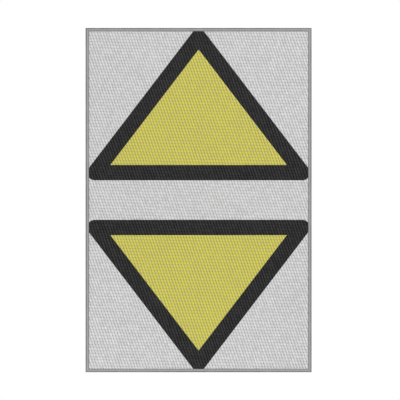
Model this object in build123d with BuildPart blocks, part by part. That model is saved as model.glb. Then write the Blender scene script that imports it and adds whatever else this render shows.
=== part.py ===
from build123d import *
import os
from math import cos, radians, sqrt, tan

# Road sign panel with two mounting rails and two post clamps, all sizes in mm.
# +X is to the right as the sign is read, +Z is up and the face looks along -Y.
# The origin lies on the post's axis, half way up the panel.

# Post and clamp saddles
post_diameter = 60.3
cradle_clearance = 0.05
saddle_web = 7.8
saddle_height = 30.0
saddle_foot = 8.0
cradle_rise = 16.2
cradle_wall = 7.0
saddle_radius = 3.0

# Straps
strap_thickness = 4.0
strap_width = 30.0
strap_bend = 4.0
strap_corner = 6.0

# Fasteners: M8 hammer-head bolts, washers and hexagon nuts
bolt_diameter = 8.0
bolt_length = 54.5
bolt_hole_clearance = 0.25
thread_clearance = 0.05
head_length = 16.5
head_shoulder = 0.3
head_thickness = 5.0
head_corner = 1.5
bolt_end_chamfer = 0.8
washer_diameter = 16.0
washer_thickness = 1.6
washer_gap = 0.8
ear_margin = 3.0
nut_flats = 13.0
nut_height = 6.5

# Panel outline and its edge profile
panel_width = 600.0
panel_height = 914.0
lip_width = 9.0
lip_thickness = 1.6
lip_bevel_width = 2.4
lip_bevel_depth = 1.0
edge_wall = 1.8
edge_radius = 2.5
rear_radius = 1.2
rib_width = 14.0
rib_thickness = 1.5
flange_width = 16.0
flange_thickness = 1.6
mitre_gap = 0.2
drain_width = 5.0
drain_length = 16.0
drain_spacing = 380.0

# Plate, sheeting and films
plate_thickness = 2.0
plate_edge_gap = 0.4
sheeting_thickness = 0.4
film_thickness = 0.1

# Warning triangles
band_height = 105.2
border_width = 40.5
triangle_corner = 20.0
film_side_margin = 2.0
film_top_margin = 1.4

# Mounting rails
rail_spacing = 500.0
rail_depth = 18.0
rail_width = 38.0
rail_wall = 2.0
rail_corner = 0.8
rail_end_gap = 0.5
rail_slip = 0.3
slot_lip = 2.5
slot_play = 0.5
chamber_play = 0.5
chamber_room = 2.5

# Corner keys and blind rivets
key_leg = 45.0
key_width = 10.0
key_gap = 0.1
key_rivet_setback = 32.0
rivet_diameter = 4.0
rivet_hole_clearance = 0.05
rivet_head = 8.0
rivet_head_height = 1.2
rivet_dome = 1.0
key_rivet_depth = 6.0
bulb_diameter = 5.6
bulb_length = 2.5
rail_rivet_setback = 9.0

# Places worked out from the sizes above
cradle_radius = post_diameter / 2 + cradle_clearance
rail_rear = -(cradle_radius + saddle_web)
rail_front = rail_rear - rail_depth
plate_back = rail_front - rib_thickness
plate_front = plate_back - plate_thickness
sheeting_front = plate_front - sheeting_thickness
film_front = sheeting_front - film_thickness
panel_front = film_front - lip_thickness
flange_front = rail_rear + rail_slip
panel_rear = flange_front + flange_thickness
panel_depth = panel_rear - panel_front
half_width = panel_width / 2
half_height = panel_height / 2
plate_width = panel_width - 2 * (edge_wall + plate_edge_gap)
plate_height = panel_height - 2 * (edge_wall + plate_edge_gap)

bend_middle = strap_bend + strap_thickness / 2
band_middle = cradle_radius + strap_thickness / 2
ear_start = band_middle + bend_middle
bolt_x = ear_start + washer_gap + washer_diameter / 2
ear_end = bolt_x + washer_diameter / 2 + ear_margin
ear_rear = -strap_bend
washer_rear = ear_rear + washer_thickness
lip_front = rail_rear - slot_lip
head_width = bolt_diameter + 2 * head_shoulder
slot_width = bolt_diameter + 2 * slot_play
chamber_width = head_length + 2 * chamber_play
chamber_depth = head_thickness + chamber_room
slot_floor = lip_front - chamber_depth
bolt_hole_radius = bolt_diameter / 2 + bolt_hole_clearance
rivet_hole_radius = rivet_diameter / 2 + rivet_hole_clearance

levels = {"upper": rail_spacing / 2, "lower": -rail_spacing / 2}
sides = {"left": -1, "right": 1}
vertical = {"top": 1, "bottom": -1}


def keep(piece, name):
    """Label a finished piece and write it to its own file."""
    piece.part.label = name
    export_step(piece.part, f"parts/{name}.step")


def facing(y, right=1):
    """Plane parallel to the panel at a depth, its normal to the front: x to the right and z up,
    or half a turn round from that with right=-1."""
    return Plane(origin=(0, y, 0), x_dir=(right, 0, 0), z_dir=(0, -1, 0))


def core_triangle():
    """Triangle above the white band through the centres of the black ring's rounded corners."""
    base = band_height / 2 + triangle_corner
    apex = plate_height / 2 - film_top_margin - triangle_corner
    reach = plate_width / 2 - film_side_margin - triangle_corner
    return [(-reach, base), (reach, base), (0, apex)]


def edge_outline():
    """Section of the edge profile: x runs inwards from the panel's edge, y runs to the rear."""
    flange_start = panel_depth - flange_thickness
    rib_start = plate_back - panel_front
    rib_end = rib_start + rib_thickness
    return [
        (0, 0),
        (lip_width - lip_bevel_width, 0),
        (lip_width, lip_bevel_depth),
        (lip_width, lip_thickness),
        (edge_wall, lip_thickness),
        (edge_wall, rib_start),
        (rib_width, rib_start),
        (rib_width, rib_end),
        (edge_wall, rib_end),
        (edge_wall, flange_start),
        (flange_width, flange_start),
        (flange_width, panel_depth),
        (0, panel_depth),
    ]


os.makedirs("parts", exist_ok=True)

# ---- Plate and retroreflective face ----

with BuildPart() as sign_plate:
    with BuildSketch(facing(plate_front)):
        Rectangle(plate_width, plate_height)
    extrude(amount=-plate_thickness)
keep(sign_plate, "sign_plate")

with BuildPart() as white_sheeting:
    with BuildSketch(facing(sheeting_front)):
        Rectangle(plate_width, plate_height)
    extrude(amount=-sheeting_thickness)
keep(white_sheeting, "white_sheeting")

for level, right in {"upper": 1, "lower": -1}.items():
    with BuildPart() as fill:
        with BuildSketch(facing(sheeting_front, right)) as fill_outline:
            with BuildLine():
                Polyline(*core_triangle(), close=True)
            make_face()
            offset(amount=triangle_corner - border_width, kind=Kind.INTERSECTION)
        extrude(amount=film_thickness)
    keep(fill, f"{level}_triangle_fill")

    with BuildPart() as border:
        with BuildSketch(facing(sheeting_front, right)):
            with BuildLine():
                Polyline(*core_triangle(), close=True)
            make_face()
            offset(amount=triangle_corner, kind=Kind.ARC)
            add(fill_outline.sketch_local, mode=Mode.SUBTRACT)
        extrude(amount=film_thickness)
    keep(border, f"{level}_triangle_border")

# ---- Edge profile: four mitred lengths ----

# centre of each length's outer front edge, the way inwards, and half the length
edge_lengths = {
    "top": ((0, panel_front, half_height), (0, 0, -1), half_width),
    "bottom": ((0, panel_front, -half_height), (0, 0, 1), half_width),
    "left": ((-half_width, panel_front, 0), (1, 0, 0), half_height),
    "right": ((half_width, panel_front, 0), (-1, 0, 0), half_height),
}
key_middle = edge_wall + key_gap + key_width / 2
corner_rivets = [
    (sx * x, sz * z)
    for sx in (-1, 1)
    for sz in (-1, 1)
    for x, z in (
        (half_width - key_rivet_setback, half_height - key_middle),
        (half_width - key_middle, half_height - key_rivet_setback),
    )
]
rail_rivet_rise = (chamber_width / 2 + rail_wall + rail_width / 2 - rail_wall) / 2
rail_rivets = [
    (sx * (half_width - rail_rivet_setback), z + sz * rail_rivet_rise)
    for sx in (-1, 1)
    for z in levels.values()
    for sz in (-1, 1)
]

for place, (start, inwards, half_length) in edge_lengths.items():
    along = Vector(inwards).cross(Vector(0, 1, 0))
    section_plane = Plane(origin=start, x_dir=inwards, z_dir=along)
    with BuildPart() as edge_rail:
        with BuildSketch(section_plane) as section:
            with BuildLine():
                Polyline(*edge_outline(), close=True)
            make_face()
            outer_corners = section.vertices().group_by(Axis.X)[0]
            fillet(outer_corners.sort_by(Axis.Y)[0], radius=edge_radius)
            rear_corners = section.vertices().group_by(Axis.Y)[-1]
            fillet(rear_corners.sort_by(Axis.X)[0], radius=rear_radius)
        extrude(amount=half_length, both=True)
        # mitres: the length narrows at 45 degrees towards its inner side
        mitre_plane = Plane(origin=start, x_dir=along, z_dir=(0, 1, 0))
        inner = half_length - flange_width - mitre_gap / 2
        outer = half_length - mitre_gap / 2
        inner_y = flange_width * mitre_plane.y_dir.dot(Vector(inwards))
        with BuildSketch(mitre_plane):
            with BuildLine():
                Polyline(
                    (-outer, 0),
                    (outer, 0),
                    (inner, inner_y),
                    (-inner, inner_y),
                    close=True,
                )
            make_face()
        extrude(amount=panel_depth, mode=Mode.INTERSECT)
        with BuildSketch(facing(panel_rear)):
            with Locations(*corner_rivets, *rail_rivets):
                Circle(rivet_hole_radius)
        extrude(amount=2 * flange_thickness, mode=Mode.SUBTRACT)
        if place == "bottom":
            drain_y = (rail_front + flange_front) / 2
            with BuildSketch(Plane.XY.offset(-half_height)):
                with Locations((-drain_spacing / 2, drain_y), (drain_spacing / 2, drain_y)):
                    SlotOverall(drain_length, drain_width)
            extrude(amount=edge_wall, mode=Mode.SUBTRACT)
    keep(edge_rail, f"{place}_edge_rail")

# ---- Corner keys inside the edge profile's channel ----

key_corner = edge_wall + key_gap
for row, sz in vertical.items():
    for side, sx in sides.items():
        corner = (sx * (half_width - key_corner), sz * (half_height - key_corner))
        inwards = (Align.MAX if sx > 0 else Align.MIN, Align.MAX if sz > 0 else Align.MIN)
        with BuildPart() as corner_key:
            with BuildSketch(facing(flange_front)):
                with Locations(corner):
                    Rectangle(key_leg, key_width, align=inwards)
                    Rectangle(key_width, key_leg, align=inwards)
            extrude(amount=flange_front - rail_front - key_gap)
            with BuildSketch(facing(flange_front)):
                with Locations(*corner_rivets):
                    Circle(rivet_hole_radius)
            extrude(amount=key_rivet_depth + key_gap, mode=Mode.SUBTRACT)
        keep(corner_key, f"{row}_{side}_corner_key")

# name, places, and how far the shank reaches behind the head
rivet_groups = {
    "corner_key_rivets": (corner_rivets, flange_thickness + key_rivet_depth),
    "rail_end_rivets": (rail_rivets, panel_rear - rail_rear + rail_wall + bulb_length),
}
for name, (places, reach) in rivet_groups.items():
    with BuildPart() as rivets:
        with BuildSketch(facing(panel_rear)):
            with Locations(*places):
                Circle(rivet_head / 2)
        extrude(amount=-rivet_head_height)
        fillet(rivets.edges().group_by(Axis.Y)[-1], radius=rivet_dome)
        with BuildSketch(facing(panel_rear)):
            with Locations(*places):
                Circle(rivet_diameter / 2)
        extrude(amount=reach)
        if places is rail_rivets:
            with BuildSketch(facing(rail_rear - rail_wall)):
                with Locations(*places):
                    Circle(bulb_diameter / 2)
            extrude(amount=bulb_length)
    keep(rivets, name)

# ---- Mounting rails and their bonding tape ----

rail_length = panel_width - 2 * (edge_wall + rail_end_gap)
tape_length = panel_width - 2 * (rib_width + rail_end_gap)
for level, z in levels.items():
    with BuildPart() as mounting_rail:
        with BuildSketch(Plane.YZ) as section:
            with Locations((rail_front, z)):
                Rectangle(rail_depth, rail_width, align=(Align.MIN, Align.CENTER))
            fillet(section.vertices(), radius=rail_corner)
            # side cavities
            web = chamber_width / 2 + rail_wall
            cavity = rail_width / 2 - rail_wall - web
            with Locations(
                (rail_front + rail_wall, z + web + cavity / 2),
                (rail_front + rail_wall, z - web - cavity / 2),
            ):
                Rectangle(
                    rail_depth - 2 * rail_wall,
                    cavity,
                    align=(Align.MIN, Align.CENTER),
                    mode=Mode.SUBTRACT,
                )
            # cavity between the front wall and the slot's floor
            with Locations((rail_front + rail_wall, z)):
                Rectangle(
                    slot_floor - rail_wall - rail_front - rail_wall,
                    chamber_width,
                    align=(Align.MIN, Align.CENTER),
                    mode=Mode.SUBTRACT,
                )
            # T-slot: chamber and mouth
            with Locations((slot_floor, z)):
                Rectangle(
                    chamber_depth,
                    chamber_width,
                    align=(Align.MIN, Align.CENTER),
                    mode=Mode.SUBTRACT,
                )
                Rectangle(
                    chamber_depth + slot_lip,
                    slot_width,
                    align=(Align.MIN, Align.CENTER),
                    mode=Mode.SUBTRACT,
                )
        extrude(amount=rail_length / 2, both=True)
        with BuildSketch(facing(rail_rear)):
            with Locations(*rail_rivets):
                Circle(rivet_hole_radius)
        extrude(amount=rail_wall, mode=Mode.SUBTRACT)
    keep(mounting_rail, f"{level}_mounting_rail")

    with BuildPart() as rail_tape:
        with BuildSketch(facing(plate_back)):
            with Locations((0, z)):
                Rectangle(tape_length, rail_width - 2 * rail_wall)
        extrude(amount=-rib_thickness)
    keep(rail_tape, f"{level}_rail_tape")

# ---- Post clamps ----

foot_top = rail_rear + saddle_foot
cradle_top = rail_rear + saddle_web + cradle_rise
cradle_half = sqrt(cradle_radius**2 - cradle_top**2)
nut_corner = nut_flats / 2 / cos(radians(30))
nut_turned = (nut_corner - nut_flats / 2) * tan(radians(30))

for level, z in levels.items():
    bolt_places = [(-bolt_x, z), (bolt_x, z)]

    with BuildPart() as saddle:
        with BuildSketch(Plane.XY.offset(z)) as outline:
            with BuildLine():
                Polyline(
                    (-ear_end, rail_rear),
                    (ear_end, rail_rear),
                    (ear_end, foot_top),
                    (cradle_half + cradle_wall, foot_top),
                    (cradle_half + cradle_wall, cradle_top),
                    (-cradle_half - cradle_wall, cradle_top),
                    (-cradle_half - cradle_wall, foot_top),
                    (-ear_end, foot_top),
                    close=True,
                )
            make_face()
            fillet(outline.vertices().group_by(Axis.Y)[1], radius=saddle_radius)
            Circle(cradle_radius, mode=Mode.SUBTRACT)
        extrude(amount=saddle_height / 2, both=True)
        with BuildSketch(facing(rail_rear)):
            with Locations(*bolt_places):
                Circle(bolt_hole_radius)
        extrude(amount=-saddle_foot, mode=Mode.SUBTRACT)
    keep(saddle, f"{level}_saddle")

    with BuildPart() as strap:
        with BuildSketch(Plane.XY.offset(z)):
            with BuildLine() as middle:
                Line((-ear_end, -bend_middle), (-ear_start, -bend_middle))
                CenterArc((-ear_start, 0), bend_middle, -90, 90)
                CenterArc((0, 0), band_middle, 180, -180)
                CenterArc((ear_start, 0), bend_middle, 180, 90)
                Line((ear_start, -bend_middle), (ear_end, -bend_middle))
            trace(middle.line, line_width=strap_thickness)
        extrude(amount=strap_width / 2, both=True)
        ear_corners = strap.edges().filter_by(Axis.Y).group_by(Axis.X)
        fillet(ear_corners[0] + ear_corners[-1], radius=strap_corner)
        with BuildSketch(facing(ear_rear)):
            with Locations(*bolt_places):
                Circle(bolt_hole_radius)
        extrude(amount=strap_thickness, mode=Mode.SUBTRACT)
    keep(strap, f"{level}_strap")

    with BuildPart() as t_bolts:
        with BuildSketch(facing(lip_front)):
            with Locations(*bolt_places):
                Rectangle(head_width, head_length)
        extrude(amount=head_thickness)
        fillet(t_bolts.edges().filter_by(Axis.Y), radius=head_corner)
        with BuildSketch(facing(lip_front)):
            with Locations(*bolt_places):
                Circle(bolt_diameter / 2 - thread_clearance)
        extrude(amount=-bolt_length)
        chamfer(t_bolts.edges().group_by(Axis.Y)[-1], length=bolt_end_chamfer)
    keep(t_bolts, f"{level}_t_bolts")

    with BuildPart() as washers:
        with BuildSketch(facing(ear_rear)):
            with Locations(*bolt_places):
                Circle(washer_diameter / 2)
                Circle(bolt_hole_radius, mode=Mode.SUBTRACT)
        extrude(amount=-washer_thickness)
    keep(washers, f"{level}_washers")

    for side, sx in sides.items():
        with BuildPart() as nut:
            with BuildSketch(facing(washer_rear)):
                with Locations((sx * bolt_x, z)):
                    RegularPolygon(nut_flats / 2, 6, major_radius=False, rotation=30)
            extrude(amount=-nut_height)
            # turned section: the bore, and the corners cut back at 30 degrees on both faces
            axis_plane = Plane(origin=(sx * bolt_x, washer_rear, z), x_dir=(1, 0, 0), z_dir=(0, 0, 1))
            with BuildSketch(axis_plane):
                with BuildLine():
                    Polyline(
                        (bolt_diameter / 2, 0),
                        (nut_flats / 2, 0),
                        (nut_corner, nut_turned),
                        (nut_corner, nut_height - nut_turned),
                        (nut_flats / 2, nut_height),
                        (bolt_diameter / 2, nut_height),
                        close=True,
                    )
                make_face()
            revolve(axis=Axis(axis_plane.origin, (0, 1, 0)), mode=Mode.INTERSECT)
        keep(nut, f"{level}_{side}_nut")
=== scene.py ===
"""Warning sign panel with its edge frame, rear rails and post clamps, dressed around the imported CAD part.

Sizes of the sign are in millimetres and sizes of the studio in metres. Meshes are made in metres, in the
part's own frame: x to the right of someone who faces the sign, y away from its face, z up, and the post's
axis at x = y = 0.
"""

import logging
import math
from dataclasses import dataclass, field
from enum import Enum

import bmesh
import bpy
import numpy as np
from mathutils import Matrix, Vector, noise
from mathutils.geometry import delaunay_2d_cdt


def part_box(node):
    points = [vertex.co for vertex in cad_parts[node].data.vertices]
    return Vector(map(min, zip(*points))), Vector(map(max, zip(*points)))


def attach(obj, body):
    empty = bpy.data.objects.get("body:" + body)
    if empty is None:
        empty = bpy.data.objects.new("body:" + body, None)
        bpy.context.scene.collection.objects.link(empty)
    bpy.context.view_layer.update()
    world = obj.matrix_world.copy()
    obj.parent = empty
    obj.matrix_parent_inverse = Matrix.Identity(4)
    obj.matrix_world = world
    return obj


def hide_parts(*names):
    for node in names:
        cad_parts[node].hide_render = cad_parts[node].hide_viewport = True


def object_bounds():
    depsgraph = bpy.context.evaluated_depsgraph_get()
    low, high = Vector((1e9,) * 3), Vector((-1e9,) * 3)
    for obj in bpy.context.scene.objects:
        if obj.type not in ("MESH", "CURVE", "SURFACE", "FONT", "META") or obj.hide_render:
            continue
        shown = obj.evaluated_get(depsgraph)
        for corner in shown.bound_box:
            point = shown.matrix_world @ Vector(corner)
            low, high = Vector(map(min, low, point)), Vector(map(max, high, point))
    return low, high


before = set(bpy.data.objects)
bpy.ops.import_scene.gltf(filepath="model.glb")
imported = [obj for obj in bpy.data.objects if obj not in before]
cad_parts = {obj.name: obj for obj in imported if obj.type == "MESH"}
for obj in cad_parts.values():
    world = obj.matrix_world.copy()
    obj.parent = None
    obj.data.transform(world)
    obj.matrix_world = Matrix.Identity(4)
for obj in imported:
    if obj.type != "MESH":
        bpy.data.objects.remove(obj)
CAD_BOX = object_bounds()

log = logging.getLogger("sign")

MM = 0.001
FULL_TURN = 2 * math.pi
PANEL_HALF = (CAD_BOX[1].x / MM, CAD_BOX[1].z / MM)  # half the panel's width and height
LIP_WIDTH = 9.0  # of the edge profile, over the face
POLYMER_IOR = 1.5
FIRST_SHADE, SECOND_SHADE, MIXED_SHADE = 6, 7, 2  # sockets of a Mix node that mixes colours
NOISE_LOW, NOISE_HIGH = 0.3, 0.7  # most of a noise texture's values lie between these
TRIANGLES, TRIANGLES_INSIDE = 0, 1  # the triangulation gives all in the hull, or those inside its edges
SAME_POINT = 1e-5  # outline points nearer than this are one

Colour = tuple[float, float, float, float]
Settings = dict[str, object]
Inputs = dict[int | str, object]


def linear(code: str) -> Colour:
    """Turns an sRGB hex colour into a linear one.

    Args:
        code: a hash sign and six hex digits.

    Returns:
        Linear red, green and blue, and an alpha of one.
    """
    # The numbers are those of the sRGB transfer curve.
    channels = [int(code[i : i + 2], 16) / 255 for i in (1, 3, 5)]
    red, green, blue = (c / 12.92 if c <= 0.04045 else ((c + 0.055) / 1.055) ** 2.4 for c in channels)
    return red, green, blue, 1.0


def per_metre(size: float) -> float:
    """Gives a texture's scale, in repeats for each metre, from one repeat's size in millimetres."""
    return 1 / (size * MM)


def add_node(
    tree: bpy.types.NodeTree, kind: str, settings: Settings | None = None, inputs: Inputs | None = None
) -> bpy.types.Node:
    """Adds one node with its settings, constants and links.

    Args:
        tree: the node tree it goes in.
        kind: the node's Blender type.
        settings: properties of the node itself.
        inputs: for each input's name or number, a constant or the socket that feeds it.

    Returns:
        The new node.
    """
    node = tree.nodes.new(kind)
    for name, value in (settings or {}).items():
        setattr(node, name, value)
    for key, value in (inputs or {}).items():
        if isinstance(value, bpy.types.NodeSocket):
            tree.links.new(value, node.inputs[key])
        else:
            node.inputs[key].default_value = value
    return node


class Body(Enum):
    """The bodies of the frame that new pieces ride on."""

    PANEL = "panel"
    UPPER_CLAMP = "upper_clamp"
    LOWER_CLAMP = "lower_clamp"
    UPPER_BAND = "upper_band"
    LOWER_BAND = "lower_band"


class Level(Enum):
    """The two halves of the sign, each with its triangle, its rail and its post clamp."""

    UPPER = "upper"
    LOWER = "lower"


# ---------------------------------------------------------------- finishes


class Bench:
    """A material on the bench: its node tree, its shader and the part's own coordinates."""

    def __init__(self, title: str, shader: Inputs) -> None:
        """Starts a material.

        Args:
            title: the material's name.
            shader: constants for the shader's own sockets.
        """
        self.material = bpy.data.materials.new(title)
        self.material.use_nodes = True
        self.tree = self.material.node_tree
        self.tree.nodes.clear()
        self.shader = add_node(self.tree, "ShaderNodeBsdfPrincipled", inputs=shader)
        surface = {"Surface": self.shader.outputs[0]}
        self.output = add_node(self.tree, "ShaderNodeOutputMaterial", inputs=surface)
        self.place = add_node(self.tree, "ShaderNodeTexCoord").outputs["Object"]

    def add(
        self, kind: str, settings: Settings | None = None, inputs: Inputs | None = None, out: int | str = 0
    ) -> bpy.types.NodeSocket:
        """Adds a node to this material and gives one of its outputs.

        Args:
            kind: the node's Blender type.
            settings: properties of the node itself.
            inputs: constants or sockets for its inputs.
            out: the name or number of the output wanted.

        Returns:
            That output.
        """
        return add_node(self.tree, kind, settings, inputs).outputs[out]

    def feed(self, **sockets: bpy.types.NodeSocket) -> None:
        """Links sockets to the shader's inputs, named with underscores for spaces."""
        for name, socket in sockets.items():
            self.tree.links.new(socket, self.shader.inputs[name.replace("_", " ").title()])


@dataclass(frozen=True)
class Finish:
    """What all finishes share: a title, a way to mix the material, and one copy of the result."""

    title: str

    def mix(self) -> Bench:
        """Mixes the material; each finish has its own way."""
        raise NotImplementedError

    def material(self) -> bpy.types.Material:
        """Gives this finish's material, mixed the first time that it is asked for."""
        return bpy.data.materials.get(self.title) or self.mix().material

    def dress(self, piece: bpy.types.Object) -> None:
        """Puts this finish on a piece or CAD node, through the object's own material slots.

        Args:
            piece: the object to dress.
        """
        if not piece.material_slots:
            piece.data.materials.append(None)
        for material_slot in piece.material_slots:
            material_slot.link = "OBJECT"
            material_slot.material = self.material()


@dataclass(frozen=True)
class CellLattice:
    """The slanted grid of sealed air cells embossed in the sheeting, the same in mesh and in colour."""

    across: tuple[float, float] = (7.74, -0.18)  # step from cell to cell along a row, in x and z
    down: tuple[float, float] = (2.73, -8.10)  # step from row to row, in x and z
    stations: tuple[float, ...] = (0.0, 0.33, 0.5, 0.67)  # where a cell is sampled; its seam is at a half
    relief: float = 0.55  # from a crossing of seams to a cell's crown
    side_share: float = 0.62  # of the relief, taken by the steep seams; the rows' seams take the rest
    seam_power: float = 4.0  # how narrow the seams are
    crown_spread: float = 0.12  # how much the crowns differ in height
    table: int = 512  # cells before the crowns' heights repeat, more than the face has
    seed: int = 7

    def gradients(self) -> tuple[tuple[float, float], tuple[float, float]]:
        """Gives how fast the lattice's two phases rise.

        Returns:
            Cells for each millimetre along x and z, first across the rows and then down them.
        """
        (across_x, across_z), (down_x, down_z) = self.across, self.down
        size = across_x * down_z - down_x * across_z
        return (down_z / size, -down_x / size), (-across_z / size, across_x / size)

    def phases(self, x: np.ndarray, z: np.ndarray) -> list[np.ndarray]:
        """Gives each point's place in the lattice, in cells, with crowns at whole numbers."""
        return [along_x * x + along_z * z for along_x, along_z in self.gradients()]

    def points(self, half_width: float, half_height: float) -> np.ndarray:
        """Gives the sample points that lie in a rectangle about the sign's middle.

        Args:
            half_width: half the rectangle's width.
            half_height: half its height.

        Returns:
            An array of x and z.
        """
        (across_x, across_z), (down_x, down_z) = self.across, self.down
        rows = math.ceil(half_height / abs(down_z)) + 1
        cells = math.ceil((half_width + rows * abs(down_x)) / across_x) + 1
        u = (np.arange(-cells, cells + 1)[:, None] + np.array(self.stations)).ravel()
        v = (np.arange(-rows, rows + 1)[:, None] + np.array(self.stations)).ravel()
        u, v = (grid.ravel() for grid in np.meshgrid(u, v))
        x, z = across_x * u + down_x * v, across_z * u + down_z * v
        inside = (np.abs(x) < half_width) & (np.abs(z) < half_height)
        return np.stack([x[inside], z[inside]], 1)

    def height(self, x: np.ndarray, z: np.ndarray) -> np.ndarray:
        """Gives the relief at each point.

        Args:
            x: the points' x.
            z: the points' z.

        Returns:
            Heights, from zero at a crossing of seams to the relief at a cell's crown.
        """
        u, v = self.phases(x, z)
        side, row = (((1 - np.cos(FULL_TURN * phase)) / 2) ** self.seam_power for phase in (u, v))
        pillow = 1 - self.side_share * side - (1 - self.side_share) * row
        crowns = np.random.RandomState(self.seed).rand(self.table, self.table)
        lower = crowns[np.rint(u).astype(int) % self.table, np.rint(v).astype(int) % self.table]
        return self.relief * pillow * (1 - self.crown_spread * lower)


@dataclass(frozen=True)
class CellFilm(Finish):
    """Embossed sealed-cell sheeting, or a film over it: a crown colour and a seam colour, with painted shade
    down the cells' slopes.
    """

    crown: str
    seam: str
    lattice: CellLattice
    side_painted_shade: float  # painted shade: how far the colour falls from a crown to the steep seams
    row_painted_shade: float  # painted shade: the same, to the seams between rows
    cell_contrast: float  # how much one cell differs from the next
    grain_contrast: float  # how much beads and dust mottle a cell
    cloud_contrast: float = 0.06  # slow clouding from uneven backing
    weld_contrast: float = 0.16  # further fall in the narrow weld along each seam
    painted_shade_start: float = 0.12  # in cells from a crown, where the painted shade on its slope begins
    weld_start: float = 0.43  # the same for the weld, which ends at a half
    cloud: float = 70.0  # size of the clouding
    grain: float = 2.6  # size of the mottling, coarser than real beads, which are too fine to show
    roughness: float = 0.45
    gloss: float = 0.5  # level of the clear reflection

    def mix(self) -> Bench:
        """Mixes the colour from the lattice's phases, so that it follows the embossed cells, with painted
        shade on their slopes.

        Returns:
            The bench with the mixed material.
        """
        # Embossed acrylic face film. It gives the eye bright pillowed cells between darker welded seams, with
        # painted shade on the pillows' slopes.
        bench = Bench(
            self.title, {"Roughness": self.roughness, "IOR": POLYMER_IOR, "Specular IOR Level": self.gloss}
        )
        seam = 0.5
        layers, cells = [], []
        for (along_x, along_z), contrast in zip(
            self.lattice.gradients(), (self.side_painted_shade, self.row_painted_shade)
        ):
            rise = (along_x / MM, 0.0, along_z / MM)
            phase = bench.add(
                "ShaderNodeVectorMath", {"operation": "DOT_PRODUCT"}, {0: bench.place, 1: rise}, "Value"
            )
            cells.append(bench.add("ShaderNodeMath", {"operation": "ROUND"}, {0: phase}))
            away = bench.add("ShaderNodeMath", {"operation": "PINGPONG"}, {0: phase, 1: seam})
            # The first dip is painted shade down a cell's slope into the seam; the second is the darker weld
            # along the seam itself.
            for start, fall in ((self.painted_shade_start, contrast), (self.weld_start, self.weld_contrast)):
                dip = bench.add(
                    "ShaderNodeMapRange",
                    {"interpolation_type": "SMOOTHSTEP"},
                    {"Value": away, "From Min": start, "From Max": seam},
                )
                layers.append((dip, -fall, seam - start))
        cell = bench.add("ShaderNodeCombineXYZ", inputs={"X": cells[0], "Y": cells[1]})
        chance = bench.add("ShaderNodeTexWhiteNoise", {"noise_dimensions": "2D"}, {"Vector": cell})
        layers.append((chance, self.cell_contrast, 0.5))
        for size, contrast in ((self.cloud, self.cloud_contrast), (self.grain, self.grain_contrast)):
            mottle = bench.add(
                "ShaderNodeTexNoise", inputs={"Vector": bench.place, "Scale": per_metre(size), "Detail": 1.0}
            )
            layers.append((mottle, contrast, 0.5))
        level = 0.5 - sum(weight * mean for _, weight, mean in layers)  # so that the whole averages a half
        for layer, weight, _ in layers:
            weighed = {0: layer, 1: weight, 2: level}
            level = bench.add("ShaderNodeMath", {"operation": "MULTIPLY_ADD"}, weighed)
        share = bench.add("ShaderNodeClamp", inputs={"Value": level})
        colours = {0: share, FIRST_SHADE: linear(self.seam), SECOND_SHADE: linear(self.crown)}
        bench.feed(base_color=bench.add("ShaderNodeMix", {"data_type": "RGBA"}, colours, MIXED_SHADE))
        return bench


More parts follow.
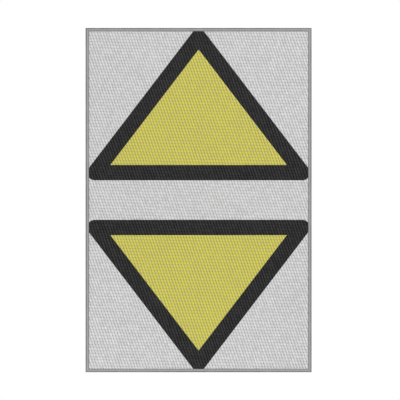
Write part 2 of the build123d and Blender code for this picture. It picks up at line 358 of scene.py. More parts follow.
@dataclass(frozen=True)
class PowderCoat(Finish):
    """Polyester powder baked on an aluminium extrusion: even, faintly pebbled, with painted shade along its
    lip's outer and inner edges.
    """

    paint: str = "#a6a7a8"
    # Darker grey, for the pigment's specks and for the painted shade along the lip's edges.
    speck_and_painted_shade: str = "#555553"
    roughness: float = 0.42
    peel: float = 1.6  # size of the orange peel's waves
    peel_depth: float = 0.05
    peel_strength: float = 0.35
    speck: float = 0.9  # size of the pigment's mottling, coarser than real so that it shows
    speck_share: float = 0.18
    outer_full: float = 1.3  # up to here from the panel's edge the outer line of painted shade, on the rounded edge, has its full strength
    outer_line: float = 4.2  # and here it ends
    inner_line: float = 3.0  # reach of the painted shade in the corner where the lip meets the sheeting
    inner_share: float = 0.85
    front_start: float = 0.6  # behind the lip's front face the painted shade begins to fade
    front_end: float = 2.8  # and is gone, round the corner
    patch: float = 25.0  # size of the stretches where the painted shade is lighter
    patch_detail: float = 4.0
    patch_range: tuple[float, float] = (0.25, 0.6)  # of the noise, from the lightest painted shade to the full
    patch_least: float = 0.6  # strength of the lightest painted shade

    def painted_shade_share(self, bench: Bench) -> bpy.types.NodeSocket:
        """Places the painted shade by the distance from the panel's edge: a line on the lip's rounded outer
        edge and one in its inner corner.

        Args:
            bench: the material being mixed.

        Returns:
            How much painted shade there is, from zero to one.
        """
        axes = add_node(bench.tree, "ShaderNodeSeparateXYZ", inputs={0: bench.place}).outputs
        rim = []
        for axis, half in zip("XZ", PANEL_HALF):
            middle = bench.add("ShaderNodeMath", {"operation": "ABSOLUTE"}, {0: axes[axis]})
            rim.append(bench.add("ShaderNodeMath", {"operation": "SUBTRACT"}, {0: half * MM, 1: middle}))
        inset = bench.add("ShaderNodeMath", {"operation": "MINIMUM"}, {0: rim[0], 1: rim[1]})
        front = CAD_BOX[0].y / MM
        # Painted shade: a dark line on the rounded outer edge and one in the inner corner by the sheeting,
        # kept to the lip's front face.
        shares = [
            bench.add(
                "ShaderNodeMapRange",
                {"interpolation_type": "SMOOTHSTEP"},
                {"Value": along, "From Min": none * MM, "From Max": full * MM, "To Max": most},
            )
            for along, none, full, most in (
                (inset, self.outer_line, self.outer_full, 1.0),
                (inset, LIP_WIDTH - self.inner_line, LIP_WIDTH, self.inner_share),
                (axes["Y"], front + self.front_end, front + self.front_start, 1.0),
            )
        ]
        lines = bench.add("ShaderNodeMath", {"operation": "MAXIMUM"}, {0: shares[0], 1: shares[1]})
        lines = bench.add("ShaderNodeMath", {"operation": "MULTIPLY"}, {0: lines, 1: shares[2]})
        patches = {"Vector": bench.place, "Scale": per_metre(self.patch), "Detail": self.patch_detail}
        patch = bench.add("ShaderNodeTexNoise", inputs=patches)
        low, high = self.patch_range
        patchy_shade = bench.add(
            "ShaderNodeMapRange",
            inputs={"Value": patch, "From Min": low, "From Max": high, "To Min": self.patch_least},
        )
        return bench.add("ShaderNodeMath", {"operation": "MULTIPLY"}, {0: lines, 1: patchy_shade})

    def mix(self) -> Bench:
        """Mixes paint, its mottling and orange peel, and the painted shade.

        Returns:
            The bench with the mixed material.
        """
        # Gives the eye a satin grey line with darker borders, which are painted shade along both of the lip's
        # edges.
        bench = Bench(self.title, {"Roughness": self.roughness, "IOR": POLYMER_IOR})
        speck, peel = (
            bench.add(
                "ShaderNodeTexNoise", inputs={"Vector": bench.place, "Scale": per_metre(size), "Detail": 1.0}
            )
            for size in (self.speck, self.peel)
        )
        mottling = {
            "Value": speck,
            "From Min": NOISE_LOW,
            "From Max": NOISE_HIGH,
            "To Max": self.speck_share,
        }
        tint = bench.add("ShaderNodeMapRange", inputs=mottling)
        colour = linear(self.paint)
        # The first mix lays the pigment's specks; the second lays painted shade on the lip's outer edge and
        # inner corner.
        for share in (tint, self.painted_shade_share(bench)):
            shades = {0: share, FIRST_SHADE: colour, SECOND_SHADE: linear(self.speck_and_painted_shade)}
            colour = bench.add("ShaderNodeMix", {"data_type": "RGBA"}, shades, MIXED_SHADE)
        bump = {"Strength": self.peel_strength, "Distance": self.peel_depth * MM, "Height": peel}
        bench.feed(base_color=colour, normal=bench.add("ShaderNodeBump", inputs=bump))
        return bench


@dataclass(frozen=True)
class DrawnMetal(Finish):
    """Bare aluminium, rolled or extruded along x and left with the fine lines that this makes."""

    light: str
    dark: str
    roughness: float
    line_width: float  # coarser than real die lines, so that they show
    line_depth: float
    stain: float  # size of the dull patches that weather leaves
    stain_share: float  # how much they darken the metal
    stain_detail: float = 5.0
    stain_range: tuple[float, float] = (0.42, 0.68)  # of the noise, from clean metal to full stain
    line_length: float = 420.0
    line_detail: float = 3.0
    line_share: float = 0.3  # how much the lines darken the metal
    dull_share: float = 0.3  # how much rougher the darkest places are
    bump_strength: float = 0.6

    def mix(self) -> Bench:
        """Mixes lines along x, dull weather patches, and a roughness that follows both.

        Returns:
            The bench with the mixed material.
        """
        # Gives the eye a dull silver with long straight lines and slightly darker, rougher patches.
        bench = Bench(self.title, {"Metallic": 1.0})
        stretch = tuple(per_metre(size) for size in (self.line_length, self.line_width, self.line_width))
        drawn = bench.add("ShaderNodeVectorMath", {"operation": "MULTIPLY"}, {0: bench.place, 1: stretch})
        fine = {"Vector": drawn, "Scale": 1.0, "Detail": self.line_detail}
        lines = bench.add("ShaderNodeTexNoise", inputs=fine)
        stains = {"Vector": bench.place, "Scale": per_metre(self.stain), "Detail": self.stain_detail}
        stain = bench.add("ShaderNodeTexNoise", inputs=stains)
        low, high = self.stain_range
        patch = bench.add(
            "ShaderNodeMapRange",
            {"interpolation_type": "SMOOTHSTEP"},
            {"Value": stain, "From Min": low, "From Max": high, "To Max": self.stain_share},
        )
        lined = {0: lines, 1: self.line_share, 2: patch}
        shade = bench.add("ShaderNodeMath", {"operation": "MULTIPLY_ADD"}, lined)
        dulled = {0: shade, 1: self.dull_share, 2: self.roughness}
        shades = {0: shade, FIRST_SHADE: linear(self.light), SECOND_SHADE: linear(self.dark)}
        bump = {"Strength": self.bump_strength, "Distance": self.line_depth * MM, "Height": lines}
        bench.feed(
            base_color=bench.add("ShaderNodeMix", {"data_type": "RGBA"}, shades, MIXED_SHADE),
            roughness=bench.add("ShaderNodeMath", {"operation": "MULTIPLY_ADD"}, dulled),
            normal=bench.add("ShaderNodeBump", inputs=bump),
        )
        return bench


@dataclass(frozen=True)
class CastMetal(Finish):
    """Metal poured, pressed or headed in a mould or die, and left with that skin: grain and small pits."""

    light: str
    dark: str
    roughness: float
    grain: float  # size of the mould's grain
    pit: float  # spacing of the small pits
    depth: float  # depth of the grain
    detail: float = 4.0
    pit_range: tuple[float, float] = (0.05, 0.35)  # of the pits' texture, from a pit's floor to its rim
    pit_floor: float = 0.55  # share of the grain that is left on a pit's floor
    skin_range: tuple[float, float] = (0.1, 0.6)  # heights of the skin at its darkest and its lightest
    shade_range: tuple[float, float] = (0.9, 0.1)  # how dark it is there, from zero to one
    bloom: float = 14.0  # size of the patches where oxide dulls the skin
    bloom_less: float = 0.08  # roughness below the usual outside them
    bloom_more: float = 0.12  # and above it inside them
    bump_strength: float = 0.8

    def mix(self) -> Bench:
        """Mixes grain, pits and an oxide bloom.

        Returns:
            The bench with the mixed material.
        """
        # Gives the eye a skin that is clearly moulded and not machined, from matt sand cast to satin headed.
        bench = Bench(self.title, {"Metallic": 1.0})
        grain, bloom = (
            bench.add(
                "ShaderNodeTexNoise",
                inputs={"Vector": bench.place, "Scale": per_metre(size), "Detail": self.detail},
            )
            for size in (self.grain, self.bloom)
        )
        pits = bench.add(
            "ShaderNodeTexVoronoi",
            {"feature": "SMOOTH_F1"},
            {"Vector": bench.place, "Scale": per_metre(self.pit)},
        )
        floor, rim = self.pit_range
        bowl = bench.add(
            "ShaderNodeMapRange",
            {"interpolation_type": "SMOOTHSTEP"},
            {"Value": pits, "From Min": floor, "From Max": rim, "To Min": self.pit_floor},
        )
        skin = bench.add("ShaderNodeMath", {"operation": "MULTIPLY"}, {0: grain, 1: bowl})
        (low, high), (dark, light) = self.skin_range, self.shade_range
        darker = bench.add(
            "ShaderNodeMapRange",
            inputs={"Value": skin, "From Min": low, "From Max": high, "To Min": dark, "To Max": light},
        )
        roughness = {
            "Value": bloom,
            "From Min": NOISE_LOW,
            "From Max": NOISE_HIGH,
            "To Min": self.roughness - self.bloom_less,
            "To Max": self.roughness + self.bloom_more,
        }
        shades = {0: darker, FIRST_SHADE: linear(self.light), SECOND_SHADE: linear(self.dark)}
        bump = {"Strength": self.bump_strength, "Distance": self.depth * MM, "Height": skin}
        bench.feed(
            base_color=bench.add("ShaderNodeMix", {"data_type": "RGBA"}, shades, MIXED_SHADE),
            roughness=bench.add("ShaderNodeMapRange", inputs=roughness),
            normal=bench.add("ShaderNodeBump", inputs=bump),
        )
        return bench


@dataclass(frozen=True)
class Spangle(Finish):
    """Hot-dip galvanised steel: zinc crystals of slightly different greys and gloss, with some bloom."""

    light: str = "#c2c6ca"
    dark: str = "#979da3"
    oxide: str = "#dfe1e2"
    roughness: float = 0.36
    crystal: float = 5.0  # zinc crystals on small dipped parts are a few millimetres wide
    wander: float = 6.0  # size of the bends in the crystals' borders
    wander_reach: float = 2.0
    dull_share: float = 0.2  # how much rougher the darkest crystals are
    bloom: float = 22.0  # size of the patches of white oxide
    bloom_detail: float = 4.0
    bloom_range: tuple[float, float] = (0.45, 0.7)  # of the noise, from bare zinc to full bloom
    bloom_share: float = 0.35  # how white the full bloom is
    ridge: float = 0.03  # height from crystal to crystal
    ridge_strength: float = 0.25

    def mix(self) -> Bench:
        """Mixes crystals of random shade, each with its own gloss, under patches of white oxide.

        Returns:
            The bench with the mixed material.
        """
        # Gives the eye a frosty patchwork that changes from crystal to crystal.
        bench = Bench(self.title, {"Metallic": 1.0})
        bends = bench.add(
            "ShaderNodeTexNoise", inputs={"Vector": bench.place, "Scale": per_metre(self.wander)}, out="Color"
        )
        reach = self.wander_reach * MM
        bent = bench.add(
            "ShaderNodeVectorMath",
            {"operation": "MULTIPLY_ADD"},
            {0: bends, 1: (reach, reach, reach), 2: bench.place},
        )
        crystal = bench.add(
            "ShaderNodeTexVoronoi", inputs={"Vector": bent, "Scale": per_metre(self.crystal)}, out="Color"
        )
        shade = bench.add("ShaderNodeSeparateColor", inputs={0: crystal})
        clouds = {"Vector": bench.place, "Scale": per_metre(self.bloom), "Detail": self.bloom_detail}
        cloud = bench.add("ShaderNodeTexNoise", inputs=clouds)
        low, high = self.bloom_range
        bloom = bench.add(
            "ShaderNodeMapRange",
            inputs={"Value": cloud, "From Min": low, "From Max": high, "To Max": self.bloom_share},
        )
        shades = {0: shade, FIRST_SHADE: linear(self.light), SECOND_SHADE: linear(self.dark)}
        zinc = bench.add("ShaderNodeMix", {"data_type": "RGBA"}, shades, MIXED_SHADE)
        bloomed = {0: bloom, FIRST_SHADE: zinc, SECOND_SHADE: linear(self.oxide)}
        gloss = {0: shade, 1: self.dull_share, 2: self.roughness}
        bump = {"Strength": self.ridge_strength, "Distance": self.ridge * MM, "Height": shade}
        bench.feed(
            base_color=bench.add("ShaderNodeMix", {"data_type": "RGBA"}, bloomed, MIXED_SHADE),
            roughness=bench.add("ShaderNodeMath", {"operation": "MULTIPLY_ADD"}, gloss),
            normal=bench.add("ShaderNodeBump", inputs=bump),
        )
        return bench


@dataclass(frozen=True)
class FoamTape(Finish):
    """Closed-cell acrylic foam tape: dull dark grey, with fine open cells on its cut edges."""

    light: str = "#4a4a4c"
    dark: str = "#2e2e30"
    roughness: float = 0.85
    cell: float = 0.8  # size of a foam cell, coarser than real so that it shows
    cell_depth: float = 0.1
    bump_strength: float = 0.7

    def mix(self) -> Bench:
        """Mixes small round cells of two greys.

        Returns:
            The bench with the mixed material.
        """
        # Gives the eye a soft matt line between the plate and each rail.
        bench = Bench(self.title, {"Roughness": self.roughness, "IOR": POLYMER_IOR})
        cells = bench.add(
            "ShaderNodeTexVoronoi", inputs={"Vector": bench.place, "Scale": per_metre(self.cell)}
        )
        shades = {0: cells, FIRST_SHADE: linear(self.dark), SECOND_SHADE: linear(self.light)}
        bump = {"Strength": self.bump_strength, "Distance": self.cell_depth * MM, "Height": cells}
        bench.feed(
            base_color=bench.add("ShaderNodeMix", {"data_type": "RGBA"}, shades, MIXED_SHADE),
            normal=bench.add("ShaderNodeBump", inputs=bump),
        )
        return bench


@dataclass(frozen=True)
class FloorBoard(Finish):
    """Matt white painted board for the studio's floor, which thins out to nothing at its rim."""

    radius: float  # of the floor, in metres
    paint: str = "#f4f4f4"
    shadow: str = "#eeeeee"
    roughness: float = 0.9
    mottle: float = 60.0  # size of the patches of two whites
    fade_start: float = 0.35  # share of the radius where it begins to thin out

    def mix(self) -> Bench:
        """Mixes the mottled paint, and its fading by the distance from the middle.

        Returns:
            The bench with the mixed material.
        """
        # Gives the eye only a soft shadow under the sign, and no edge.
        bench = Bench(self.title, {"Roughness": self.roughness})
        mottle = bench.add(
            "ShaderNodeTexNoise", inputs={"Vector": bench.place, "Scale": per_metre(self.mottle)}
        )
        shades = {0: mottle, FIRST_SHADE: linear(self.paint), SECOND_SHADE: linear(self.shadow)}
        bench.feed(base_color=bench.add("ShaderNodeMix", {"data_type": "RGBA"}, shades, MIXED_SHADE))
        reach = bench.add("ShaderNodeVectorMath", {"operation": "LENGTH"}, {0: bench.place}, "Value")
        fade = bench.add(
            "ShaderNodeMapRange",
            {"interpolation_type": "SMOOTHSTEP"},
            {"Value": reach, "From Min": self.radius * self.fade_start, "From Max": self.radius},
        )
        clear = bench.add("ShaderNodeBsdfTransparent")
        faded = bench.add("ShaderNodeMixShader", inputs={0: fade, 1: bench.shader.outputs[0], 2: clear})
        bench.tree.links.new(faded, bench.output.inputs["Surface"])
        return bench


LATTICE = CellLattice()
# Air cells under clear acrylic: off-white pillows with grey seams, and painted shade on their slopes.
WHITE_SHEETING = CellFilm(
    "white_sealed_cell_sheeting",
    "#eeeeee",
    "#979797",
    LATTICE,
    side_painted_shade=0.40,
    row_painted_shade=0.165,
    cell_contrast=0.14,
    grain_contrast=0.75,
)
# Dyed clear film over the cells: bright yellow pillows whose seams turn brownish, with painted shade on their
# slopes.
YELLOW_FILM = CellFilm(
    "yellow_transparent_film_on_cells",
    "#e8e31e",
    "#928674",
    LATTICE,
    side_painted_shade=0.53,
    row_painted_shade=0.18,
    cell_contrast=0.08,
    grain_contrast=0.3,
)
# Pigment hides the cells, so only their relief shows; its lighter crowns and dark seams are painted sheen and
# shade of that relief: near-black with hardly any gloss.
BLACK_FILM = CellFilm(
    "black_opaque_film_on_cells",
    "#343434",
    "#020202",
    LATTICE,
    side_painted_shade=1.12,
    row_painted_shade=0.32,
    cell_contrast=0.40,
    grain_contrast=1.0,
    roughness=0.55,
    gloss=0.2,
)
# Extruded, then powder coated and baked: satin mid grey.
GREY_PROFILE = PowderCoat("grey_powder_coated_aluminium_profile")
# Cold rolled: pale and even, with faint lines.
PLATE_BACK = DrawnMetal(
    "mill_finish_aluminium_sheet",
    "#cdcfd1",
    "#a7aaac",
    roughness=0.46,
    line_width=1.6,
    line_depth=0.012,
    stain=90.0,
    stain_share=0.12,
)
# Pressed hot through a die: glossier and more stained than the sheet, with stronger lines.
MILL_RAIL = DrawnMetal(
    "extruded_mill_finish_aluminium",
    "#c6c8ca",
    "#8f9294",
    roughness=0.33,
    line_width=1.2,
    line_depth=0.03,
    stain=45.0,
    stain_share=0.35,
)
# Poured in sand: matt, grainy and pitted.
SAND_CAST = CastMetal(
    "sand_cast_aluminium", "#b6b8ba", "#85878a", roughness=0.52, grain=0.9, pit=2.2, depth=0.10
)
# Shot into a steel die: smoother, with a few shallow pits.
DIE_CAST = CastMetal(
    "die_cast_aluminium", "#b4b6b8", "#808284", roughness=0.42, grain=1.6, pit=5.0, depth=0.06
)
# Rivet heads upset cold from wire: bright and satin, with hardly any grain.
COLD_HEADED = CastMetal(
    "cold_headed_aluminium", "#cfd0d2", "#8c8e90", roughness=0.30, grain=2.2, pit=3.0, depth=0.04
)
# Forged cold from bar and polished in a barrel: glossy, and warmer than the aluminium.
STAINLESS = CastMetal(
    "cold_formed_stainless_steel", "#cac8c4", "#a6a39e", roughness=0.24, grain=0.6, pit=5.0, depth=0.006
)
# Dipped in molten zinc: frosty crystals.
GALVANISED = Spangle("hot_dip_galvanised_steel")
# Foamed and slit to width: soft and matt.
TAPE = FoamTape("closed_cell_acrylic_foam_tape")


# ---------------------------------------------------------------- pieces


@dataclass(frozen=True)
class Role:
    """What a new piece is in the assembly: its finish, body, record slot and the CAD node it stands for."""

    name: str
    finish: Finish
    slot: str
    body: Body
    node: str

    def make(self, points: np.ndarray, faces: list[list[int]], smooth: np.ndarray | bool) -> None:
        """Makes the piece from a mesh, dresses it and sets it riding.

        Args:
            points: its points, in millimetres.
            faces: its faces, as lists of point numbers.
            smooth: whether its faces shade smoothly, one value or one for each face.
        """
        mesh = bpy.data.meshes.new(self.name)
        mesh.from_pydata((points * MM).tolist(), [], faces)
        mesh.polygons.foreach_set("use_smooth", np.broadcast_to(smooth, len(faces)))
        piece = bpy.data.objects.new(self.name, mesh)
        bpy.context.scene.collection.objects.link(piece)
        self.finish.dress(piece)
        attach(piece, self.body.value)
        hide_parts(self.node)
        title, body = self.finish.title, self.body.value
        log.info("%s: %d faces, in %s, rides on %s", self.name, len(faces), title, body)


def dress_node(name: str, finish: Finish) -> None:
    """Dresses a CAD node that is shown as it is, and reports it."""
    finish.dress(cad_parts[name])
    log.info("%s: CAD node, in %s", name, finish.title)


class Region(Enum):
    """The areas that the face is divided into."""

    WHITE = 0
    UPPER_BLACK = 1
    UPPER_YELLOW = 2
    LOWER_BLACK = 3
    LOWER_YELLOW = 4


@dataclass
class SignFace:
    """The embossed sheeting and the films on it, each a closed solid with its cells in relief."""

    lattice: CellLattice = LATTICE
    corner_radius: float = 20.0  # of the black triangles' outer corners
    arc_steps: int = 12
    lip_fade: float = 1.6  # over which the relief runs out beside the lip
    edge_step: float = 2.0  # spacing of points along an outline
    clearance: float = 0.55  # least distance from a lattice point to an outline
    outlines: dict[Region, np.ndarray] = field(default_factory=dict)

    def __post_init__(self) -> None:
        """Reads the outlines and depths from the CAD nodes' boxes."""
        low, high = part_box("white_sheeting")
        self.back, self.front = high.y / MM, low.y / MM
        self.film_step = self.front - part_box("upper_triangle_border")[0].y / MM
        # Half the width and height of the sheeting, and of the window that the lip leaves open.
        self.sheet = (high.x / MM, high.z / MM)
        self.window = tuple(half - LIP_WIDTH for half in PANEL_HALF)
        for level, black, yellow in (
            (Level.UPPER, Region.UPPER_BLACK, Region.UPPER_YELLOW),
            (Level.LOWER, Region.LOWER_BLACK, Region.LOWER_YELLOW),
        ):
            core = self.triangle(level, f"{level.value}_triangle_border", self.corner_radius)
            self.outlines[black] = self.rounded(core)
            self.outlines[yellow] = self.triangle(level, f"{level.value}_triangle_fill", 0.0)

    @staticmethod
    def triangle(level: Level, node: str, shrink: float) -> np.ndarray:
        """Gives the corners of a triangle, which points up in the upper half and down in the lower one.

        Args:
            level: the half of the sign.
            node: the CAD node in whose box it fits.
            shrink: how much smaller than the box it is on every side.

        Returns:
            Its three corners in x and z, anticlockwise.
        """
        low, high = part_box(node)
        reach, bottom, top = high.x / MM - shrink, low.z / MM + shrink, high.z / MM - shrink
        if level is Level.UPPER:
            return np.array([(-reach, bottom), (reach, bottom), (0, top)])
        return np.array([(0, bottom), (reach, top), (-reach, top)])

    def rounded(self, core: np.ndarray) -> np.ndarray:
        """Grows a triangle by the corner radius, with an arc round each corner.

        Args:
            core: its corners, anticlockwise.

        Returns:
            The points of the larger outline, anticlockwise.
        """
        points = []
        for corner, before, after in zip(core, np.roll(core, 1, 0), np.roll(core, -1, 0)):
            start, end = (math.atan2(-side[0], side[1]) for side in (corner - before, after - corner))
            for angle in start + (end - start) % FULL_TURN * np.linspace(0, 1, self.arc_steps + 1):
                points.append(corner + self.corner_radius * np.array([math.cos(angle), math.sin(angle)]))
        return np.array(points)

    def stepped(self, outline: np.ndarray) -> np.ndarray:
        """Divides an outline's straight sides into short steps.

        Args:
            outline: its corners, in order.

        Returns:
            The corners and the points between them.
        """
        points = []
        for start, end in zip(outline, np.roll(outline, -1, 0)):
            count = max(1, int(np.linalg.norm(end - start) / self.edge_step))
            points.extend(start + (end - start) * np.arange(count)[:, None] / count)
        return np.array(points)

    @staticmethod
    def depth_inside(outline: np.ndarray, points: np.ndarray) -> np.ndarray:
        """Gives how far each point lies inside a convex outline.

        Args:
            outline: its corners, anticlockwise.
            points: the points to place.

        Returns:
            Their distances from the nearest side's line, below zero outside.
        """
        depth = np.full(len(points), np.inf)
        for start, end in zip(outline, np.roll(outline, -1, 0)):
            along = (end - start) / np.linalg.norm(end - start)
            depth = np.minimum(depth, (points - start) @ np.array([-along[1], along[0]]))
        return depth

    def region_of(self, points: np.ndarray) -> np.ndarray:
        """Gives the number of the region that each point lies in.

        Args:
            points: the points to place.

        Returns:
            A region's value for each.
        """
        found = np.full(len(points), Region.WHITE.value)
        # Each yellow triangle comes after the black one around it, and takes its own points back.
        for region, outline in self.outlines.items():
            found[self.depth_inside(outline, points) > 0] = region.value
        return found

    def height(self, points: np.ndarray) -> np.ndarray:
        """Gives the relief at each point, run out to nothing beside the lip and under it.

        Args:
            points: the points, in x and z.

        Returns:
            Their heights above the flat sheeting.
        """
        inset = (np.array(self.window) - np.abs(points)).min(1)
        return self.lattice.height(points[:, 0], points[:, 1]) * np.clip(inset / self.lip_fade, 0, 1)

    def triangulate(self) -> tuple[np.ndarray, np.ndarray]:
        """Fills the sheeting with triangles on the lattice's points, with the outlines as edges.

        Returns:
            The points in x and z, and the triangles' point numbers, anticlockwise.
        """
        corners = np.array([(-1, -1), (1, -1), (1, 1), (-1, 1)])
        loops = [self.stepped(corners * halves) for halves in (self.sheet, self.window)]
        loops += [self.stepped(outline) for outline in self.outlines.values()]
        points, edges = [], []
        for loop in loops:
            start, count = len(points), len(loop)
            points.extend(loop)
            edges.extend((start + i, start + (i + 1) % count) for i in range(count))
        loose = self.lattice.points(*(half - self.clearance for half in self.window))
        for outline in self.outlines.values():
            loose = loose[np.abs(self.depth_inside(outline, loose)) > self.clearance]
        points.extend(loose)
        found = delaunay_2d_cdt([Vector(point) for point in points], edges, [], TRIANGLES, SAME_POINT)
        return np.array([tuple(point) for point in found[0]]), np.array(found[2])

    def solid(
        self, region: Region, points: np.ndarray, triangles: np.ndarray
    ) -> tuple[np.ndarray, list[list[int]], np.ndarray]:
        """Makes one region's closed solid: its front in relief, walls, and a flat back.

        Args:
            region: the region.
            points: all of the face's points.
            triangles: this region's triangles.

        Returns:
            The solid's points, its faces, and which of the faces are smooth.
        """
        used, front = np.unique(triangles, return_inverse=True)
        front = front.reshape(triangles.shape)
        flat, count = points[used], len(used)
        # An edge whose reverse no other triangle has is on the rim.
        edges = np.concatenate([front[:, [0, 1]], front[:, [1, 2]], front[:, [2, 0]]])
        paired = np.isin(edges[:, 0] * count + edges[:, 1], edges[:, 1] * count + edges[:, 0])
        rim_edges = edges[~paired]
        rim = np.unique(rim_edges)
        behind = {point: count + i for i, point in enumerate(rim)}
        walls = [[end, start, behind[start], behind[end]] for start, end in rim_edges.tolist()]
        found = delaunay_2d_cdt(
            [Vector(point) for point in flat[rim]],
            [(behind[start] - count, behind[end] - count) for start, end in rim_edges.tolist()],
            [],
            TRIANGLES_INSIDE,
            SAME_POINT,
        )
        back = np.array(found[2])
        # Where other regions lie inside this one, their share of the back is left to them.
        back = back[self.region_of(flat[rim][back].mean(1)) == region.value]
        step = 0.0 if region is Region.WHITE else self.film_step
        front_y = self.front - step - self.height(flat)
        depths = np.concatenate([front_y, np.full(len(rim), self.back)])
        vertices = np.insert(np.concatenate([flat, flat[rim]]), 1, depths, axis=1)
        faces = front.tolist() + walls + (back[:, ::-1] + count).tolist()
        return vertices, faces, np.arange(len(faces)) < len(front)

    def build(self) -> None:
        """Makes the white sheeting, both black triangles and both yellow ones."""
        roles = {
            Region.WHITE: Role(
                "white_cell_sheeting", WHITE_SHEETING, "white_sheeting", Body.PANEL, "white_sheeting"
            )
        }
        for level, black, yellow in (
            (Level.UPPER.value, Region.UPPER_BLACK, Region.UPPER_YELLOW),
            (Level.LOWER.value, Region.LOWER_BLACK, Region.LOWER_YELLOW),
        ):
            roles[black] = Role(
                f"{level}_black_triangle", BLACK_FILM, "black_film", Body.PANEL, f"{level}_triangle_border"
            )
            roles[yellow] = Role(
                f"{level}_yellow_triangle", YELLOW_FILM, "yellow_film", Body.PANEL, f"{level}_triangle_fill"
            )
        points, triangles = self.triangulate()
        regions = self.region_of(points[triangles].mean(1))
        for region, role in roles.items():
            role.make(*self.solid(region, points, triangles[regions == region.value]))


@dataclass
class EdgeFrame:
    """The mitred edge profile, the corner keys in its channel and the rivets that hold them."""

    sides: tuple[str, ...] = ("top", "bottom", "left", "right")
    corners: tuple[str, ...] = ("top_left", "top_right", "bottom_left", "bottom_right")

    def build(self) -> None:
        """Dresses the profile's four lengths, the keys and the rivets."""
        for side in self.sides:
            dress_node(f"{side}_edge_rail", GREY_PROFILE)
        for corner in self.corners:
            dress_node(f"{corner}_corner_key", DIE_CAST)
        dress_node("corner_key_rivets", COLD_HEADED)


@dataclass
class PlateAndRails:
    """The plate behind the sheeting, and the two T-slot rails that are taped and riveted to the panel."""

    levels: tuple[Level, ...] = tuple(Level)

    def build(self) -> None:
        """Dresses the plate, rails, tapes and rivets."""
        dress_node("sign_plate", PLATE_BACK)
        for level in self.levels:
            dress_node(f"{level.value}_mounting_rail", MILL_RAIL)
            dress_node(f"{level.value}_rail_tape", TAPE)
        dress_node("rail_end_rivets", COLD_HEADED)


@dataclass
class TBolts:
    """The two hammer-head bolts of a clamp, each one skin: bevelled head, neck, cut thread, chamfered tip."""

    level: Level
    around: int = 32  # points round a bolt
    head_length: float = 16.5
    head_width: float = 8.6
    head_thickness: float = 5.0
    head_corner: float = 1.5
    head_bevel: float = 0.45
    shank_radius: float = 3.95
    neck: float = 8.0  # plain length behind the head
    pitch: float = 1.25
    pitch_steps: int = 8  # rings for each turn of the thread
    thread_depth: float = 0.68
    flank: float = 2.3  # how steeply the thread rises, so that its crest and root are narrow flats
    root_flat: float = 0.08
    tip_chamfer: float = 0.9

    def directions(self) -> np.ndarray:
        """Gives the angles of the points round a bolt, from x towards z."""
        return (np.arange(self.around) + 0.5) * FULL_TURN / self.around

    def circle(self, radius: float | np.ndarray) -> np.ndarray:
        """Gives a ring's x and z, for one radius or for one at each point."""
        angle = self.directions()
        return np.stack([radius * np.cos(angle), radius * np.sin(angle)], 1)

    def head_outline(self, shrink: float) -> np.ndarray:
        """Gives the head's rounded rectangle in x and z, made smaller all round."""
        half = np.array([self.head_width, self.head_length]) / 2 - self.head_corner
        return np.sign(self.circle(1.0)) * half + self.circle(self.head_corner - shrink)

    def thread_ring(self, y: float, start: float, tip: float) -> np.ndarray:
        """Gives one ring of the right-handed thread.

        Args:
            y: the ring's place along the bolt.
            start: where the thread begins.
            tip: where the bolt ends.

        Returns:
            Its points in x and z.
        """
        turn = (y / self.pitch + self.directions() / FULL_TURN) % 1
        crest = np.clip(self.flank * (0.5 - np.abs(turn - 0.5)) - self.root_flat, 0, 1)
        run_in = min(1.0, (y - start) / self.pitch)
        cut = self.shank_radius - self.thread_depth * run_in * (1 - crest)
        chamfer = self.shank_radius - max(0.0, self.tip_chamfer - (tip - y))
        return self.circle(np.minimum(cut, chamfer))

    def build(self, body: Body) -> None:
        """Makes both bolts as one piece.

        Args:
            body: the body they ride on.
        """
        node = f"{self.level.value}_t_bolts"
        low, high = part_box(node)
        front, tip = low.y / MM, high.y / MM
        seat = front + self.head_thickness
        start = seat + self.neck
        rings = [
            (front, self.head_outline(self.head_bevel)),
            (front + self.head_bevel, self.head_outline(0.0)),
            (seat - self.head_bevel, self.head_outline(0.0)),
            (seat, self.head_outline(self.head_bevel)),
            (seat, self.circle(self.shank_radius)),
        ]
        count = int((tip - start) / self.pitch * self.pitch_steps)
        rings += [(y, self.thread_ring(y, start, tip)) for y in np.linspace(start, tip, count)]
        bolt = np.concatenate([np.insert(ring, 1, y, axis=1) for y, ring in rings])
        corner = np.arange(len(bolt)).reshape(len(rings), self.around)
        turned = np.roll(corner, -1, axis=1)
        sides = np.stack([corner[:-1], corner[1:], turned[1:], turned[:-1]], -1).reshape(-1, 4)
        skin = sides.tolist() + [corner[0].tolist(), corner[-1, ::-1].tolist()]
        middle = (low.z + high.z) / 2 / MM
        reach = high.x / MM - self.head_width / 2
        points = np.concatenate([bolt + (side * reach, 0, middle) for side in (-1, 1)])
        faces = skin + [[i + len(bolt) for i in face] for face in skin]
        Role(f"{self.level.value}_threaded_bolts", STAINLESS, "stainless_steel", body, node).make(
            points, faces, False
        )


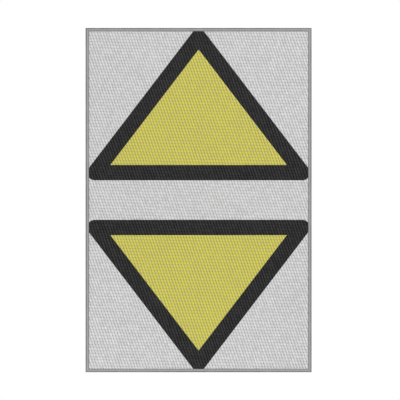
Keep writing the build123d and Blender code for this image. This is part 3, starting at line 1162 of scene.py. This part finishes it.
@dataclass
class PostClamp:
    """One post clamp: cast saddle, pressed strap, hammer-head bolts, washers and nuts."""

    level: Level
    cast_voxel: float = 0.7  # how finely a casting's rounded edges are modelled
    cast_passes: int = 5
    cast_grain: float = 1.5  # size of the sand's grain
    cast_skin: float = 0.10  # its height
    strap_voxel: float = 0.65
    strap_passes: int = 3
    weld: float = 0.01  # nodes' points nearer than this are joined first

    def softened(
        self, node: str, voxel: float, passes: int, skin: float
    ) -> tuple[np.ndarray, list[list[int]]]:
        """Remakes a CAD node with rounded edges and a grainy skin, kept inside the node's own box.

        Args:
            node: the CAD node.
            voxel: the size of the new mesh's squares.
            passes: smoothing passes; more of them round the edges further.
            skin: height of the skin's grain.

        Returns:
            The new points, in millimetres, and faces.
        """
        shell = bmesh.new()
        shell.from_mesh(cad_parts[node].data)
        bmesh.ops.remove_doubles(shell, verts=shell.verts, dist=self.weld * MM)
        mesh = bpy.data.meshes.new("shell")
        shell.to_mesh(mesh)
        shell.free()
        rough = bpy.data.objects.new("shell", mesh)
        bpy.context.scene.collection.objects.link(rough)
        remesh = rough.modifiers.new("remesh", "REMESH")
        remesh.mode, remesh.voxel_size = "VOXEL", voxel * MM
        smooth = rough.modifiers.new("smooth", "SMOOTH")
        smooth.factor, smooth.iterations = 0.5, passes
        done = bpy.data.meshes.new_from_object(rough.evaluated_get(bpy.context.evaluated_depsgraph_get()))
        bpy.data.objects.remove(rough)
        low, high = (np.array(corner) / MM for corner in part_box(node))
        points = np.array([vertex.co for vertex in done.vertices]) / MM
        normals = np.array([vertex.normal for vertex in done.vertices])
        grain = np.array([noise.noise(Vector(point) / self.cast_grain) for point in points])
        points = np.clip(points + normals * (skin * (grain - 1))[:, None], low, high)
        return points, [list(face.vertices) for face in done.polygons]

    def build(self) -> None:
        """Makes the casting, strap and bolts, and dresses the washers and nuts."""
        name = self.level.value
        upper = self.level is Level.UPPER
        clamp = Body.UPPER_CLAMP if upper else Body.LOWER_CLAMP
        band = Body.UPPER_BAND if upper else Body.LOWER_BAND
        saddle, strap = f"{name}_saddle", f"{name}_strap"
        Role(f"{name}_cast_saddle", SAND_CAST, "cast_aluminium", clamp, saddle).make(
            *self.softened(saddle, self.cast_voxel, self.cast_passes, self.cast_skin), True
        )
        Role(f"{name}_pressed_strap", GALVANISED, "galvanised_steel", band, strap).make(
            *self.softened(strap, self.strap_voxel, self.strap_passes, 0.0), True
        )
        TBolts(self.level).build(clamp)
        for part in ("washers", "left_nut", "right_nut"):
            dress_node(f"{name}_{part}", STAINLESS)


# ---------------------------------------------------------------- studio


@dataclass(frozen=True)
class Softbox:
    """A square lamp aimed at the sign's middle. Sizes in metres, power in watts."""

    name: str
    place: tuple[float, float, float]
    power: float
    size: float = 2.4

    def hang(self) -> None:
        """Hangs the lamp."""
        lamp = bpy.data.lights.new(self.name, "AREA")
        lamp.shape, lamp.size, lamp.energy = "SQUARE", self.size, self.power
        holder = bpy.data.objects.new(self.name, lamp)
        holder.location = self.place
        holder.rotation_euler = (-Vector(self.place)).to_track_quat("-Z", "Y").to_euler()
        bpy.context.scene.collection.objects.link(holder)


@dataclass
class Studio:
    """Pale floor, white surroundings, soft lamps and the camera. Sizes in metres."""

    floor_drop: float = 0.30  # from the sign's lower edge, as it hangs clear on its post
    floor_radius: float = 2.2
    floor_points: int = 96
    surroundings: float = 0.42  # strength of the white surroundings as light
    lens: float = 200.0  # in millimetres
    sensor: float = 36.0  # in millimetres
    clip_end: float = 100.0
    view_width: float = 1.0616  # what the frame takes in at the sign's face
    aim: tuple[float, float] = (0.0038, 0.0002)  # where the camera points, in x and z
    lamps: tuple[Softbox, ...] = (
        Softbox("key_softbox", (2.2, -3.2, 2.6), 114.0),
        Softbox("fill_softbox", (-2.6, -3.0, 0.6), 30.0),
        Softbox("rear_softbox", (-1.8, 3.0, 2.4), 175.0),
    )

    def floor(self) -> None:
        """Lays a round floor below the sign."""
        angle = np.arange(self.floor_points) * FULL_TURN / self.floor_points
        rim = np.stack([np.cos(angle), np.sin(angle), np.zeros(self.floor_points)], 1) * self.floor_radius
        mesh = bpy.data.meshes.new("studio_floor")
        mesh.from_pydata(rim.tolist(), [], [list(range(self.floor_points))])
        floor = bpy.data.objects.new("studio_floor", mesh)
        floor.location.z = CAD_BOX[0].z - self.floor_drop
        bpy.context.scene.collection.objects.link(floor)
        FloorBoard("matt_white_painted_board", self.floor_radius).dress(floor)

    def surround(self) -> None:
        """Sets white surroundings, which light the sign more gently than they look."""
        world = bpy.data.worlds.new("white_surroundings")
        bpy.context.scene.world = world
        world.use_nodes = True
        tree = world.node_tree
        tree.nodes.clear()
        seen = add_node(tree, "ShaderNodeLightPath").outputs["Is Camera Ray"]
        strength = add_node(tree, "ShaderNodeMapRange", inputs={"Value": seen, "To Min": self.surroundings})
        white = {"Color": linear("#ffffff"), "Strength": strength.outputs[0]}
        sky = add_node(tree, "ShaderNodeBackground", inputs=white)
        add_node(tree, "ShaderNodeOutputWorld", inputs={"Surface": sky.outputs[0]})

    def camera(self) -> None:
        """Sets a long lens square on to the sign's face."""
        lens = bpy.data.cameras.new("camera")
        lens.lens, lens.sensor_width, lens.clip_end = self.lens, self.sensor, self.clip_end
        camera = bpy.data.objects.new("camera", lens)
        distance = self.view_width * self.lens / self.sensor
        camera.location = (self.aim[0], CAD_BOX[0].y - distance, self.aim[1])
        camera.rotation_euler.x = math.radians(90)
        bpy.context.scene.collection.objects.link(camera)
        bpy.context.scene.camera = camera
        bpy.context.scene.view_settings.view_transform = "Standard"

    def build(self) -> None:
        """Lays the floor, hangs the lamps and sets the surroundings and camera."""
        self.camera()
        self.floor()
        self.surround()
        for lamp in self.lamps:
            lamp.hang()
            log.info("%s: %g W", lamp.name, lamp.power)


def main() -> None:
    """Builds the studio and the sign's sub-assemblies in order."""
    logging.basicConfig(level=logging.INFO, format="%(name)s: %(message)s")
    Studio().build()
    SignFace().build()
    EdgeFrame().build()
    PlateAndRails().build()
    for level in Level:
        PostClamp(level).build()


if __name__ == "__main__":
    main()
